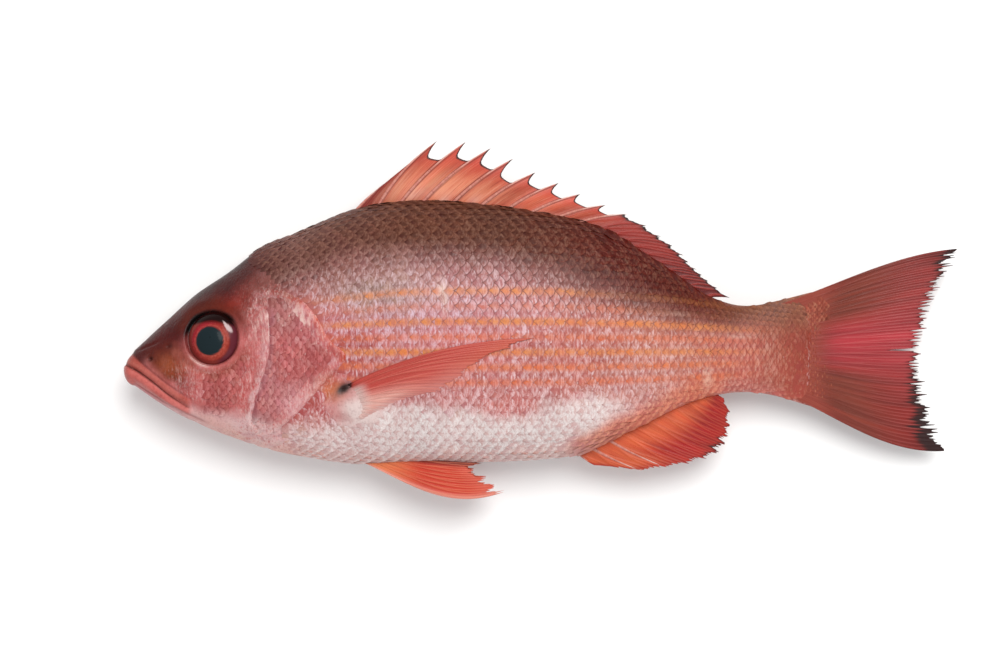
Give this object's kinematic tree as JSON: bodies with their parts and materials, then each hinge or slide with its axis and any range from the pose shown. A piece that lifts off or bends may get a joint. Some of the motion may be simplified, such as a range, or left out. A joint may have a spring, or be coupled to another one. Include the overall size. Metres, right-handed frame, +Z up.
{
  "type": "whole raw fish",
  "caption": "Whole raw red snapper lying on its right flank, with its fins, scales, gill cover and both eyes.",
  "frame": {"origin": "under the middle of the bounding box, on the surface that the fish lies on", "axes": "+X from the head to the tail, +Y to the back and its fin, +Z up out of the left flank"},
  "size_m": [0.3749, 0.1588, 0.0514],
  "materials": {
    "skin": "wet scaly fish skin, pink-silver flank, white belly, red fins",
    "eye": "wet, clear and glossy, black pupil in a red iris"
  },
  "bodies": {
    "root": {"fish": "skin", "eye_left": "eye", "eye_right": "eye"}
  },
  "joints": []
}
